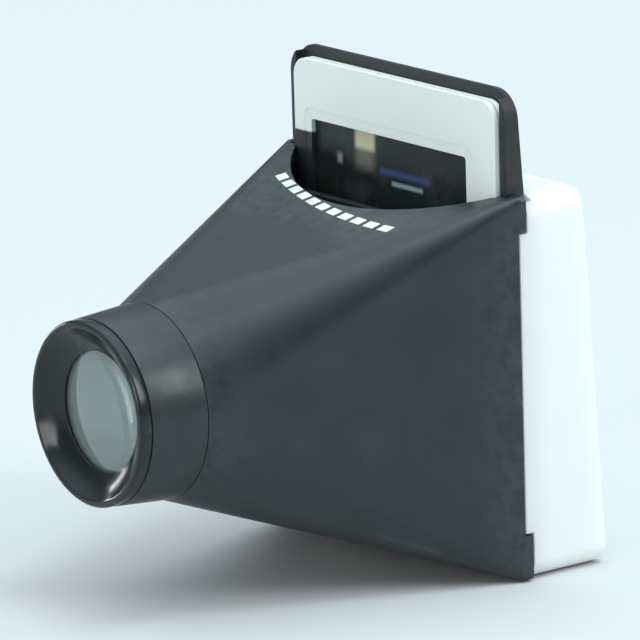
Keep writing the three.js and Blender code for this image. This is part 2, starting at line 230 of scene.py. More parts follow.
# ---- materials ----
class Look:
    """A node material built around one Principled shader."""

    def __init__(self, name, colour, roughness, metallic=0.0):
        self.material = bpy.data.materials.new(name)
        self.material.use_nodes = True
        self.nodes = self.material.node_tree.nodes
        self.links = self.material.node_tree.links
        self.shader = self.nodes["Principled BSDF"]
        self.shader.inputs["Base Color"].default_value = (*colour, 1)
        self.shader.inputs["Roughness"].default_value = roughness
        self.shader.inputs["Metallic"].default_value = metallic
        self.where = self.nodes.new("ShaderNodeTexCoord").outputs["Object"]
        self.bump_chain = None

    def set(self, socket, value):
        self.shader.inputs[socket].default_value = value

    def stretched(self, scale):
        mapping = self.nodes.new("ShaderNodeMapping")
        mapping.inputs["Scale"].default_value = scale
        self.links.new(self.where, mapping.inputs["Vector"])
        return mapping.outputs["Vector"]

    def noise(self, size_mm, detail=3.0, roughness=0.55, stretch=None):
        """Noise whose blobs are about size_mm across."""
        node = self.nodes.new("ShaderNodeTexNoise")
        node.inputs["Scale"].default_value = 1 / (size_mm * MM)
        node.inputs["Detail"].default_value = detail
        node.inputs["Roughness"].default_value = roughness
        self.links.new(self.stretched(stretch) if stretch else self.where, node.inputs["Vector"])
        return node.outputs["Fac"]

    def cells(self, size_mm):
        """Distance from the nearest of a scatter of points about size_mm apart."""
        node = self.nodes.new("ShaderNodeTexVoronoi")
        node.inputs["Scale"].default_value = 1 / (size_mm * MM)
        self.links.new(self.where, node.inputs["Vector"])
        return node.outputs["Distance"]

    def ramp(self, value, low, high, to_low=0.0, to_high=1.0):
        """Goes smoothly from to_low to to_high as the value goes from low to high."""
        node = self.nodes.new("ShaderNodeMapRange")
        node.interpolation_type = "SMOOTHSTEP"
        node.inputs["From Min"].default_value = low
        node.inputs["From Max"].default_value = high
        node.inputs["To Min"].default_value = to_low
        node.inputs["To Max"].default_value = to_high
        self.links.new(value, node.inputs["Value"])
        return node.outputs["Result"]

    def maths(self, operation, a, b):
        node = self.nodes.new("ShaderNodeMath")
        node.operation = operation
        for socket, value in zip(node.inputs, (a, b)):
            if isinstance(value, (int, float)):
                socket.default_value = value
            else:
                self.links.new(value, socket)
        return node.outputs["Value"]

    def edges(self, low=0.505, high=0.56):
        """Rises from 0 to 1 towards convex edges, as the pointiness goes from low to high."""
        geometry = self.nodes.new("ShaderNodeNewGeometry")
        return self.ramp(geometry.outputs["Pointiness"], low, high)

    def axis(self, which):
        node = self.nodes.new("ShaderNodeSeparateXYZ")
        self.links.new(self.where, node.inputs["Vector"])
        return node.outputs[which]

    def blend_colour(self, share, colour):
        """Mixes a colour over what the shader has so far, by share."""
        mix = self.nodes.new("ShaderNodeMix")
        mix.data_type = "RGBA"
        base = self.shader.inputs["Base Color"]
        if base.is_linked:
            self.links.new(base.links[0].from_socket, mix.inputs["A"])
        else:
            mix.inputs["A"].default_value = base.default_value
        mix.inputs["B"].default_value = (*colour, 1)
        self.links.new(share, mix.inputs["Factor"])
        self.links.new(mix.outputs["Result"], base)

    def vary_roughness(self, value, low, high):
        self.links.new(self.ramp(value, 0.3, 0.7, low, high), self.shader.inputs["Roughness"])

    def bump(self, value, height_mm, strength=1.0):
        node = self.nodes.new("ShaderNodeBump")
        node.inputs["Distance"].default_value = height_mm * MM
        node.inputs["Strength"].default_value = strength
        self.links.new(value, node.inputs["Height"])
        if self.bump_chain is not None:
            self.links.new(self.bump_chain, node.inputs["Normal"])
        self.bump_chain = node.outputs["Normal"]
        self.links.new(self.bump_chain, self.shader.inputs["Normal"])


def moulded_black(name, colour, roughness, wear=0.1):
    """Semi-matt black plastic: fine moulded grain, faint mottling and specks, rubbed edges."""
    look = Look(name, colour, roughness[0])
    look.set("IOR", 1.5)
    look.set("Specular IOR Level", 0.5)
    mottling = look.noise(9, detail=4)
    lighter = tuple(min(1.0, c * 1.55 + 0.004) for c in colour)
    look.blend_colour(look.ramp(mottling, 0.35, 0.75, 0, 0.5), lighter)
    handling = look.noise(2.3, detail=5, roughness=0.62)
    rubbed = look.maths("MULTIPLY", look.edges(), look.ramp(handling, 0.35, 0.62))
    look.blend_colour(look.maths("MULTIPLY", rubbed, wear), (0.19, 0.22, 0.23))
    dots = look.ramp(look.cells(1.7), 0.11, 0.05)
    specks = look.maths("MULTIPLY", dots, look.ramp(handling, 0.5, 0.7))
    look.blend_colour(look.maths("MULTIPLY", specks, 0.12), (0.24, 0.26, 0.26))
    look.vary_roughness(look.noise(5.5, detail=6, roughness=0.65), *roughness)
    scratches = look.noise(0.5, detail=2, stretch=(1.0, 0.06, 1.0))
    look.bump(look.noise(6, detail=2), 0.05, 0.4)
    look.bump(look.ramp(scratches, 0.62, 0.7), 0.006, 0.5)
    look.bump(look.noise(0.28, detail=2), 0.012, 0.6)
    return look.material


def gloss_black(name):
    """Polished black plastic with faint smears."""
    look = Look(name, (0.006, 0.010, 0.010), 0.2)
    look.set("IOR", 1.52)
    look.set("Specular IOR Level", 0.4)
    smears = look.noise(3, detail=5, roughness=0.6)
    look.vary_roughness(smears, 0.14, 0.24)
    look.blend_colour(look.maths("MULTIPLY", look.edges(0.51, 0.58), 0.12), (0.16, 0.18, 0.19))
    look.bump(look.noise(0.5, detail=2), 0.004, 0.5)
    return look.material


def opal(name, colour, roughness):
    """Milky translucent moulding that lets soft light through."""
    look = Look(name, colour, roughness)
    look.set("IOR", 1.49)
    look.set("Subsurface Weight", 0.6)
    look.set("Subsurface Radius", (0.0045, 0.0046, 0.0048))
    look.set("Subsurface Scale", 1.0)
    cloud = look.noise(14, detail=3)
    look.blend_colour(look.ramp(cloud, 0.35, 0.7, 0, 0.5), (0.97, 0.99, 0.965))
    look.vary_roughness(look.noise(4, detail=5), roughness - 0.06, roughness + 0.1)
    look.bump(look.noise(7, detail=2), 0.05, 0.3)
    look.bump(look.noise(0.35, detail=2), 0.008, 0.4)
    return look.material


# A dark patch painted over the lower part of the mount's left border, just above the body's top.
DARK_PATCH_EDGE_X = -20.5
DARK_PATCH_Z = (44.0, 62.5)
DARK_PATCH_SOFTNESS = (0.3, 0.2)  # half the width of the blend, across x and z


def dark_patch_share(look):
    """1 on the dark patch painted over the lower part of the mount's left border, 0 elsewhere."""
    soft_x, soft_z = DARK_PATCH_SOFTNESS
    bottom, top = DARK_PATCH_Z
    x, z = look.axis("X"), look.axis("Z")
    left = look.ramp(x, (DARK_PATCH_EDGE_X + soft_x) * MM, (DARK_PATCH_EDGE_X - soft_x) * MM)
    below = look.ramp(z, (top + soft_z) * MM, (top - soft_z) * MM)
    above = look.ramp(z, (bottom - soft_z) * MM, (bottom + soft_z) * MM)
    return look.maths("MULTIPLY", left, look.maths("MULTIPLY", below, above))


def card_white(name):
    """Off-white moulded slide mount: fine matt grain, slight yellowing and a dark patch painted on its
    left border.
    """
    look = Look(name, (0.84, 0.90, 0.84), 0.6)
    look.blend_colour(look.ramp(look.noise(11, detail=4), 0.4, 0.7, 0, 0.55), (0.86, 0.89, 0.80))
    look.blend_colour(look.maths("MULTIPLY", look.edges(0.52, 0.6), 0.3), (0.5, 0.52, 0.47))
    # the dark patch painted over the lower part of the mount's left border
    look.blend_colour(dark_patch_share(look), (0.018, 0.024, 0.024))
    look.vary_roughness(look.noise(2, detail=4), 0.5, 0.72)
    look.bump(look.noise(0.45, detail=3), 0.02, 0.6)
    look.bump(look.noise(5, detail=2), 0.03, 0.3)
    return look.material


def lens_glass(name):
    """Clear glass with a pale diffuse share that paints in the glow the lens shows."""
    # the pale colour, left diffuse where transmission is below 1, is painted light standing in for the
    # glow seen in the lens
    look = Look(name, (0.70, 0.86, 0.80), 0.02)
    look.set("IOR", 1.52)
    look.set("Transmission Weight", 0.82)
    look.set("Coat Weight", 0.5)
    look.set("Coat Roughness", 0.03)
    return look.material


def spring_steel(name):
    """Drawn steel: fine lines along its length and darker patches."""
    look = Look(name, (0.58, 0.57, 0.54), 0.3, metallic=1.0)
    look.blend_colour(look.ramp(look.noise(4, detail=4), 0.5, 0.8, 0, 0.4), (0.33, 0.3, 0.26))
    look.vary_roughness(look.noise(0.5, detail=3, stretch=(1, 1, 0.1)), 0.22, 0.42)
    look.bump(look.noise(0.3, detail=2, stretch=(1, 1, 0.05)), 0.004, 0.6)
    return look.material


def soft_rubber(name):
    """Matt black rubber."""
    look = Look(name, (0.025, 0.025, 0.026), 0.8)
    look.vary_roughness(look.noise(1.5, detail=4), 0.7, 0.9)
    look.bump(look.noise(0.4, detail=3), 0.015, 0.7)
    return look.material


def film_with_painted_reflections(name):
    """A dark transparency with a dim mottle and painted reflections: a warm patch, two cool streaks
    and a small grey spot.
    """
    look = Look(name, (0.014, 0.02, 0.018), 0.3)
    look.set("Specular IOR Level", 0.3)
    x, z = look.axis("X"), look.axis("Z")

    def spot(cx, cz, half_x, half_z, edge):
        """1 inside a rectangle, in millimetres, and 0 outside, with a soft edge."""
        across = look.maths("ABSOLUTE", look.maths("SUBTRACT", x, cx * MM), 0)
        up = look.maths("ABSOLUTE", look.maths("SUBTRACT", z, cz * MM), 0)
        in_x = look.ramp(across, (half_x + edge) * MM, (half_x - edge) * MM)
        in_z = look.ramp(up, (half_z + edge) * MM, (half_z - edge) * MM)
        return look.maths("MULTIPLY", in_x, in_z)

    look.blend_colour(look.ramp(look.noise(5, detail=5), 0.45, 0.75, 0, 0.7), (0.05, 0.05, 0.055))
    # painted reflections on the glossy film: a warm patch, two cool streaks and a small grey spot
    look.blend_colour(spot(-8.3, 61.5, 2.3, 3.0, 1.2), (0.16, 0.15, 0.12))
    look.blend_colour(spot(-8.3, 63.5, 2.4, 1.9, 0.6), (0.62, 0.58, 0.36))
    look.blend_colour(spot(1.6, 58.9, 6.2, 0.5, 0.5), (0.045, 0.075, 0.19))
    look.blend_colour(spot(2.3, 57.3, 3.8, 0.3, 0.35), (0.3, 0.45, 0.47))
    look.blend_colour(spot(-14.7, 59.3, 0.6, 0.8, 0.5), (0.26, 0.26, 0.29))
    look.vary_roughness(look.noise(2.5, detail=4), 0.3, 0.45)
    look.bump(look.noise(9, detail=1), 0.08, 0.3)
    return look.material


def white_ink(name):
    """Printed white, worn thin in places."""
    look = Look(name, (0.78, 0.82, 0.8), 0.5)
    look.blend_colour(look.ramp(look.noise(0.8, detail=5), 0.5, 0.75, 0, 0.7), (0.35, 0.39, 0.4))
    look.bump(look.noise(0.3, detail=2), 0.02, 0.6)
    return look.material


def studio_paper(name):
    """Plain matt grey paper."""
    look = Look(name, (0.62, 0.62, 0.62), 0.95)
    look.set("Specular IOR Level", 0.1)
    look.bump(look.noise(0.8, detail=2), 0.01, 0.2)
    return look.material


BLACK = moulded_black("body_black", (0.010, 0.018, 0.019), (0.28, 0.38))
CARRIER_BLACK = moulded_black("carrier_black", (0.006, 0.010, 0.010), (0.4, 0.52), wear=0.08)
GATE_BLACK = moulded_black("gate_black", (0.008, 0.01, 0.01), (0.6, 0.75), wear=0.0)
GLOSS = gloss_black("eyepiece_black")
OPAL = opal("opal_moulding", (0.95, 0.985, 0.955), 0.38)
OPAL_SHEET = opal("opal_sheet", (0.86, 0.9, 0.88), 0.6)
MOUNT = card_white("mount_white")
GLASS = lens_glass("lens_glass")
STEEL = spring_steel("spring_steel")
RUBBER = soft_rubber("seat_rubber")
FILM = film_with_painted_reflections("film_with_painted_reflections")
INK = white_ink("white_ink")


def dress(made, material, body, slot, *nodes):
    """Gives a finished piece its material and its body, and hides the nodes it stands for. slot is not
    used.
    """
    made.data.materials.clear()
    made.data.materials.append(material)
    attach(made, body)
    if nodes:
        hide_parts(*nodes)
    return made


# ---- the funnel body ----
FUNNEL_STATIONS = 7
CORNER_STEPS = 20


def funnel_section(shape_y, y, wall):
    """The body's rounded-rectangle section as it is at shape_y, less the wall, drawn at y."""
    along = (shape_y - NECK_Y) / -NECK_Y

    def mix(front, rear):
        return front + (rear - front) * along

    half_width = mix(NECK_RADIUS, BODY_WIDTH / 2) - wall
    half_height = mix(NECK_RADIUS, BODY_HEIGHT / 2) - wall
    corner = mix(NECK_RADIUS - wall, REAR_CORNER)
    mid_z = mix(AXIS_Z, BODY_HEIGHT / 2)
    low, high = mid_z - half_height, mid_z + half_height
    outline = rounded_outline(-half_width, half_width, low, high, corner, corner, CORNER_STEPS)
    return [(x, y, z) for x, z in outline]


def top_face_z(y):
    """Height of the flat top face of the funnel."""
    front = AXIS_Z + NECK_RADIUS
    return front + (BODY_HEIGHT - front) * (y - NECK_Y) / -NECK_Y


NOTCH_DEPTH = 11.8
NOTCH_HALF_WIDTH = 25.0
NOTCH_RADIUS = (NOTCH_HALF_WIDTH**2 + NOTCH_DEPTH**2) / (2 * NOTCH_DEPTH)
NOTCH_MID_Y = SLIDE_FRONT + NOTCH_RADIUS - NOTCH_DEPTH
SCREW_X = 22.6
SCREW_HEIGHTS = (7.5, 50.8)
SCREW_HOLE_RADIUS = 1.2
POST_RADIUS = 2.4
POST_BACK = -4.5
POST_FRONT = -12.5


def notch_cutter():
    """An upright cylinder that crosses the top face in the arc of the thumb notch."""
    outline = circle((0, NOTCH_MID_Y), NOTCH_RADIUS, TURNED_SIDES)
    heights = (BODY_HEIGHT - 6, BODY_HEIGHT + 3)
    return ring_loft("cutter", [[(x, y, z) for x, y in outline] for z in heights])


def screw_rods(radius, front, back):
    """A rod at each of the four screws."""
    return [rod(side * SCREW_X, z, radius, front, back) for side in (-1, 1) for z in SCREW_HEIGHTS]


def cut_slots(body):
    """The slide's and the carrier's ways in from above, and the open back between sill and ears."""
    slide_half = SLIDE_SIDE / 2 + GAP
    half = BODY_WIDTH / 2 + BEYOND
    above = BODY_HEIGHT + 2
    behind = 2 * REAR_REACH
    slot_overlap, floor_overlap = 0.1, 0.02
    boolean(body, block(-slide_half, slide_half, SLIDE_FRONT - GAP, slot_overlap, AXIS_Z, above))
    slot_floor = BODY_WALL + floor_overlap
    boolean(body, block(-SLOT_HALF, SLOT_HALF, CARRIER_FRONT - GAP, behind, slot_floor, above))
    boolean(body, notch_cutter())
    boolean(body, block(-half, half, 0, behind, SILL_TOP, EAR_BOTTOM))


def build_body():
    """The hollow funnel, with the screw posts inside and the openings in its top and back."""
    stations = [NECK_Y + (-NECK_Y) * i / (FUNNEL_STATIONS - 1) for i in range(FUNNEL_STATIONS)]
    outer = [funnel_section(y, y, 0) for y in stations] + [funnel_section(0, REAR_REACH, 0)]
    body = ring_loft("body_moulding", outer)
    inner = [funnel_section(NECK_Y, NECK_Y - BEYOND, BODY_WALL)]
    inner += [funnel_section(y, y, BODY_WALL) for y in stations]
    inner += [funnel_section(0, REAR_REACH + BEYOND, BODY_WALL)]
    boolean(body, ring_loft("cutter", inner))
    for post in screw_rods(POST_RADIUS, POST_FRONT, POST_BACK):
        keep = boolean(post, ring_loft("limit", outer), "INTERSECT")
        boolean(body, keep, "UNION")
    for hole in screw_rods(SCREW_HOLE_RADIUS, POST_FRONT + BEYOND, POST_BACK + BEYOND):
        boolean(body, hole)
    cut_slots(body)
    bevelled(body, 0.28)
    return dress(body, BLACK, "viewer", "body_plastic", "body_shell")


def build_notch_marks():
    """A generic printed trim: a shallow arc of plain white bars in front of the thumb notch."""
    mid_x, mid_y, radius = 14.0, 68.7, 84.4
    bars = 11
    start, end = math.radians(-21.6), math.radians(1.7)
    half_length, half_width = 1.2, 0.82
    height, sunk = 0.05, 0.03
    bm = bmesh.new()
    for i in range(bars):
        middle = start + (end - start) * i / (bars - 1) - math.pi / 2
        outline = []
        for along, across in ((-1, -1), (1, -1), (1, 1), (-1, 1)):
            angle = middle + along * half_length / radius
            reach = radius + across * half_width
            outline.append((mid_x + reach * math.cos(angle), mid_y + reach * math.sin(angle)))
        low = [bm.verts.new(place(x, y, top_face_z(y) - sunk)) for x, y in outline]
        high = [bm.verts.new(place(x, y, top_face_z(y) + height)) for x, y in outline]
        bm.faces.new(high)
        bm.faces.new(list(reversed(low)))
        for j in range(4):
            k = (j + 1) % 4
            bm.faces.new((low[j], low[k], high[k], high[j]))
    marks = bevelled(new_object("notch_trim_marks", bm), 0.04, segments=2)
    return dress(marks, INK, "viewer", "mount_plastic")


# ---- eyepiece ----
def filleted(profile, radius, steps=4):
    """Rounds the corners of a closed (radius, y) profile."""
    largest_share = 0.45  # of the side beside a corner
    rounded = []
    count = len(profile)
    for i in range(count):
        before = Vector(profile[i - 1])
        corner = Vector(profile[i])
        after = Vector(profile[(i + 1) % count])
        shorter = min((before - corner).length, (after - corner).length)
        reach = min(radius, shorter * largest_share)
        start = corner + (before - corner).normalized() * reach
        end = corner + (after - corner).normalized() * reach
        for step in range(steps + 1):
            t = step / steps
            point = start * (1 - t) ** 2 + corner * 2 * t * (1 - t) + end * t**2
            rounded.append((point.x, point.y))
    return rounded


def shaded_turned(name, profile, sides=TURNED_SIDES, angle=50):
    """A turned piece whose edges sharper than the angle stay creases."""
    made = turned(name, profile, sides=sides)
    made.data.set_sharp_from_angle(angle=math.radians(angle))
    return made


BARREL_FRONT = -58.2
BARREL_RADIUS = 14.35
BARREL_BORE = 12.4
BARREL_SEAM = 0.1
SPIGOT_RADIUS = 12.7
SPIGOT_LENGTH = 3.3
SHELF_RADIUS = 10.2
SHELF_Y = -52.5
RING_RADIUS = 14.25
RING_OPENING = 9.3
RING_FLANGE = 1.95
RING_SPIGOT_RADIUS = 12.1
RING_SPIGOT_END = 3.0
RIM_WIDTH = 1.0
RIM_ROUND = 0.35
DISH_END = -57.6
DISH_HOLLOW = 0.35
LENS_RADIUS = 12.0
LENS_SAG = 1.35
LENS_FRONT = -56.5
LENS_BACK = -54.9
SEAT_INNER, SEAT_OUTER = 11.0, 12.1
SEAT_FRONT, SEAT_BACK = -54.35, -52.8


def build_barrel():
    """The neck: a tapered tube with a spigot behind and a shelf for the lens inside."""
    back = NECK_Y - BARREL_SEAM
    spigot_end = back + SPIGOT_LENGTH
    profile = [
        (BARREL_BORE, BARREL_FRONT), (BARREL_RADIUS, BARREL_FRONT),
        (NECK_RADIUS, back), (SPIGOT_RADIUS, back),
        (SPIGOT_RADIUS, spigot_end), (SHELF_RADIUS, spigot_end),
        (SHELF_RADIUS, SHELF_Y), (BARREL_BORE, SHELF_Y),
    ]
    barrel = shaded_turned("eyepiece_neck", filleted(profile, 0.12))
    return dress(barrel, BLACK, "viewer", "body_plastic", "eyepiece_barrel")


def build_eye_ring():
    """The dished front ring, whose spigot holds the lens."""
    rim = -EYE_LENGTH
    dish_radius = RING_RADIUS - RIM_WIDTH
    steps = 10
    profile = []
    for i in range(steps + 1):
        # the dish hollows out gently between the opening and the rim
        t = i / steps
        hollow = DISH_HOLLOW * math.sin(math.pi * t)
        radius = RING_OPENING + (dish_radius - RING_OPENING) * t
        profile.append((radius, DISH_END + (rim - DISH_END) * t + hollow))
    profile += [
        (RING_RADIUS - RIM_ROUND, rim), (RING_RADIUS, rim + RIM_ROUND),
        (RING_RADIUS, rim + RING_FLANGE), (RING_SPIGOT_RADIUS, rim + RING_FLANGE),
        (RING_SPIGOT_RADIUS, rim + RING_SPIGOT_END), (RING_OPENING, rim + RING_SPIGOT_END),
    ]
    ring = shaded_turned("eyepiece_front_ring", filleted(profile, 0.12, 3), sides=192, angle=40)
    return dress(ring, GLOSS, "viewer", "eyepiece_plastic", "eyepiece_ring")


def build_lens():
    """A double-convex lens, its points closer together towards the edge."""
    curve = (LENS_RADIUS**2 + LENS_SAG**2) / (2 * LENS_SAG)
    steps = 28

    def bulge(r):
        return math.sqrt(curve**2 - r**2) - (curve - LENS_SAG)

    radii = [LENS_RADIUS * math.sin(math.pi / 2 * i / steps) for i in range(steps + 1)]
    profile = [(r, LENS_FRONT - bulge(r)) for r in radii]
    profile += [(r, LENS_BACK + bulge(r)) for r in reversed(radii)]
    lens = shaded_turned("lens_element", profile)
    return dress(lens, GLASS, "viewer", "lens_glass", "eye_lens")


def build_lens_seat():
    """The soft ring between the lens and the neck's shelf."""
    profile = [
        (SEAT_INNER, SEAT_FRONT), (SEAT_OUTER, SEAT_FRONT),
        (SEAT_OUTER, SEAT_BACK), (SEAT_INNER, SEAT_BACK),
    ]
    seat = shaded_turned("lens_seat", filleted(profile, 0.3))
    return dress(seat, RUBBER, "viewer", "seat_rubber", "lens_seat_ring")


# ---- film gate, springs and screws ----
GATE_FRONT, GATE_BACK = -4.2, -2.8
GATE_HALF = 25.2
GATE_BOTTOM, GATE_TOP = 4.2, 53.8
GATE_WINDOW_HALF = 20.0
GATE_WINDOW_BELOW, GATE_WINDOW_ABOVE = 20.0, 18.0  # from the optical axis
SPRING_FOOT = GATE_BACK + GAP / 2
SPRING_THICKNESS = 0.3
SPRING_HALF_WIDTH = 2.2
SPRING_BOTTOM = 5.2
CROSS_REACH, CROSS_HALF_WIDTH = 0.95, 0.17
CROSS_FLOOR = 0.35


def bar_along_x(name, outline, x0, x1):
    """A bar along X whose outline is given as (y, z) points."""
    rings = [[(x, y, z) for y, z in outline] for x in (x0, x1)]
    return ring_loft(name, rings)


def build_gate():
    """The frame in front of the slide."""
    outline = rounded_outline(-GATE_HALF, GATE_HALF, GATE_BOTTOM, GATE_TOP, 3, 3)
    gate = plate("gate_frame", outline, GATE_FRONT, GATE_BACK)
    low, high = AXIS_Z - GATE_WINDOW_BELOW, AXIS_Z + GATE_WINDOW_ABOVE
    window = rounded_outline(-GATE_WINDOW_HALF, GATE_WINDOW_HALF, low, high, 1, 1)
    boolean(gate, plate("cutter", window, GATE_FRONT - BEYOND, GATE_BACK + BEYOND))
    for hole in screw_rods(SCREW_HOLE_RADIUS, GATE_FRONT - BEYOND, GATE_BACK + BEYOND):
        boolean(gate, hole)
    return dress(bevelled(gate, 0.2), GATE_BLACK, "viewer", "gate_plastic", "film_gate")


def build_spring(side, label):
    """A bowed leaf spring, held by its foot."""
    steps = 40
    foot, length, bow = 4.6, 36.0, 0.9
    line = [(SPRING_FOOT, SPRING_BOTTOM)]
    for i in range(steps + 1):
        y = SPRING_FOOT + bow * math.sin(math.pi * i / steps) ** 2
        line.append((y, SPRING_BOTTOM + foot + length * i / steps))
    outline = line + [(y + SPRING_THICKNESS, z) for y, z in reversed(line)]
    x = side * SCREW_X
    spring = bar_along_x("leaf_spring_" + label, outline, x - SPRING_HALF_WIDTH, x + SPRING_HALF_WIDTH)
    boolean(spring, rod(x, SCREW_HEIGHTS[0], SCREW_HOLE_RADIUS, GATE_BACK - BEYOND, SLIDE_FRONT))
    bevelled(spring, 0.06, segments=2)
    return dress(spring, STEEL, "viewer", "spring_steel", "pressure_spring_" + label)


def build_screw(side, label, level, z):
    """A small pan-head screw with a cross recess, along Y."""
    head = SPRING_FOOT + SPRING_THICKNESS + GAP / 2
    profile = [
        (0.0, -6.5), (0.36, -6.5), (0.9, -5.5), (0.9, -0.02), (1.66, 0.0), (1.7, 0.1),
        (1.68, 0.35), (1.5, 0.58), (1.1, 0.74), (0.6, 0.8), (0.0, 0.8),
    ]
    x = side * SCREW_X
    turned_profile = [(radius, head + y) for radius, y in profile]
    screw = turned(f"cross_screw_{level}_{label}", turned_profile, (x, z), sides=40)
    floor, above = head + CROSS_FLOOR, head + BEYOND
    for reach_x, reach_z in ((CROSS_REACH, CROSS_HALF_WIDTH), (CROSS_HALF_WIDTH, CROSS_REACH)):
        boolean(screw, block(x - reach_x, x + reach_x, floor, above, z - reach_z, z + reach_z))
    bevelled(screw, 0.03, segments=1, angle=40)
    return dress(screw, STEEL, "viewer", "screw_steel", f"gate_screw_{level}_{label}")


# ---- carrier and slide ----
CARRIER_TOP = 75.8
CARRIER_BACK = 3.0
CARRIER_TOP_BACK = 1.9
CARRIER_HALF = 26.7
CARRIER_FLOOR = 4.0
CARRIER_BOTTOM_CORNER, CARRIER_TOP_CORNER = 1.5, 4.2
CARRIER_WINDOW_HALF = 20.5
SLIDE_BOTTOM = SLIDE_MID_Z - SLIDE_SIDE / 2
HALF_THICKNESS = 0.85  # of one half of the mount
MOUNT_STEP = 1.6
MOUNT_STEP_DEPTH = 0.05


def carrier_wedge(top):
    """What to cut off so that the carrier's back leans forwards above the body."""
    lean = (CARRIER_BACK - CARRIER_TOP_BACK) / (CARRIER_TOP - BODY_HEIGHT)
    behind = CARRIER_BACK + BEYOND
    side_view = [
        (CARRIER_BACK, BODY_HEIGHT), (behind, BODY_HEIGHT), (behind, top),
        (CARRIER_BACK - lean * (top - BODY_HEIGHT), top),
    ]
    half = CARRIER_HALF + BEYOND
    return bar_along_x("cutter", side_view, -half, half)


def build_carrier():
    """The frame that holds the slide: a pocket in front, a window behind it, a wedge-shaped top."""
    floor = SLIDE_BOTTOM - CARRIER_FLOOR
    corners = (CARRIER_BOTTOM_CORNER, CARRIER_TOP_CORNER)
    outline = rounded_outline(-CARRIER_HALF, CARRIER_HALF, floor, CARRIER_TOP, *corners, 14)
    carrier = plate("carrier_frame", outline, CARRIER_FRONT, CARRIER_BACK)
    top = CARRIER_TOP + BEYOND
    front, back = CARRIER_FRONT - BEYOND, CARRIER_BACK + BEYOND
    pocket = SLIDE_SIDE / 2 + GAP
    boolean(carrier, block(-pocket, pocket, front, SLIDE_BACK + GAP / 2, SLIDE_BOTTOM - GAP / 2, top))
    half = CARRIER_WINDOW_HALF
    window = rounded_outline(-half, half, SLIDE_MID_Z - half, SLIDE_MID_Z + half, 1, 1, 6)
    boolean(carrier, plate("cutter", window, front, back))
    boolean(carrier, carrier_wedge(top))
    bevelled(carrier, 0.3)
    return dress(carrier, CARRIER_BLACK, "carrier", "carrier_plastic", "slide_carrier")


def build_mount(name, node, front, back, outward):
    """One half of the slide mount, with a shallow step round its window on the outer face."""
    half = SLIDE_SIDE / 2
    low, high = SLIDE_MID_Z - half, SLIDE_MID_Z + half
    outline = rounded_outline(-half, half, low, high, SLIDE_CORNER, SLIDE_CORNER, 12)
    mount = plate(name, outline, front, back)
    x0, x1, z0, z1 = WINDOW
    step = MOUNT_STEP
    recess = rounded_outline(x0 - step, x1 + step, z0 - step, z1 + step, 1.2, 1.2, 6)
    if outward < 0:
        boolean(mount, plate("cutter", recess, front - BEYOND, front + MOUNT_STEP_DEPTH))
    else:
        boolean(mount, plate("cutter", recess, back - MOUNT_STEP_DEPTH, back + BEYOND))
    window = rounded_outline(x0, x1, z0, z1, 0.6, 0.6, 6)
    boolean(mount, plate("cutter", window, front - BEYOND, back + BEYOND))
    bevelled(mount, 0.12)
    return dress(mount, MOUNT, "slide", "mount_plastic", node)


FILM_MARGIN = 1.5  # past the window, on each side
FILM_BOW = 0.3
FILM_HALF_THICKNESS = 0.08
FILM_COLUMNS, FILM_ROWS = 36, 30


def film_bow(x, z):
    """How far the film bows forwards: most in the middle of the window, none past its edge."""
    x0, x1, z0, z1 = WINDOW
    u = min(1, abs(x - (x0 + x1) / 2) / ((x1 - x0) / 2))
    v = min(1, abs(z - (z0 + z1) / 2) / ((z1 - z0) / 2))
    return FILM_BOW * (1 - u**2) * (1 - v**2)


def film_skin(bm, offset):
    """One face of the film as a grid of points, offset along Y from its middle."""
    x0, x1, z0, z1 = WINDOW
    mid_y = (SLIDE_FRONT + SLIDE_BACK) / 2
    grid = []
    for row in range(FILM_ROWS + 1):
        z = z0 - FILM_MARGIN + (z1 - z0 + 2 * FILM_MARGIN) * row / FILM_ROWS
        line = []
        for column in range(FILM_COLUMNS + 1):
            x = x0 - FILM_MARGIN + (x1 - x0 + 2 * FILM_MARGIN) * column / FILM_COLUMNS
            line.append(bm.verts.new(place(x, mid_y + offset - film_bow(x, z), z)))
        grid.append(line)
    for near, far in zip(grid, grid[1:]):
        for column in range(FILM_COLUMNS):
            bm.faces.new((near[column], near[column + 1], far[column + 1], far[column]))
    return grid


def grid_border(grid):
    """The points round the edge of a grid, in order."""
    loop = grid[0][:-1] + [line[-1] for line in grid[:-1]]
    return loop + list(reversed(grid[-1][1:])) + [line[0] for line in reversed(grid[1:])]


def build_film():
    """The film, bowed slightly forwards inside its window."""
    bm = bmesh.new()
    front, back = [grid_border(film_skin(bm, side * FILM_HALF_THICKNESS)) for side in (-1, 1)]
    for i in range(len(front)):
        j = (i + 1) % len(front)
        bm.faces.new((front[i], front[j], back[j], back[i]))
    film = new_object("film_sheet", bm)
    film.data.set_sharp_from_angle(angle=math.radians(40))
    return dress(film, FILM, "slide", "film", "film_chip")


# ---- opal light box ----
BOX_HALF = 28.9
BOX_TOP = 59.7
BOX_BOTTOM_DEPTH = 16.7
BOX_TOP_DEPTH = 13.2
BOX_WALL = 2.0
BOX_CORNER = 3.0
BOX_BACK_ROUND = 1.5
BOX_LIP = 1.0  # side wall left beside the carrier's slot
SLOT_BACK = 3.4
SCREEN_HALF = 26.3
SCREEN_FRONT, SCREEN_BACK = 5.6, 6.6


def box_back(z, inset=0.0):
    """y of the box's sloping back at height z, less the inset."""
    return BOX_BOTTOM_DEPTH - inset - (BOX_BOTTOM_DEPTH - BOX_TOP_DEPTH) * z / BOX_TOP


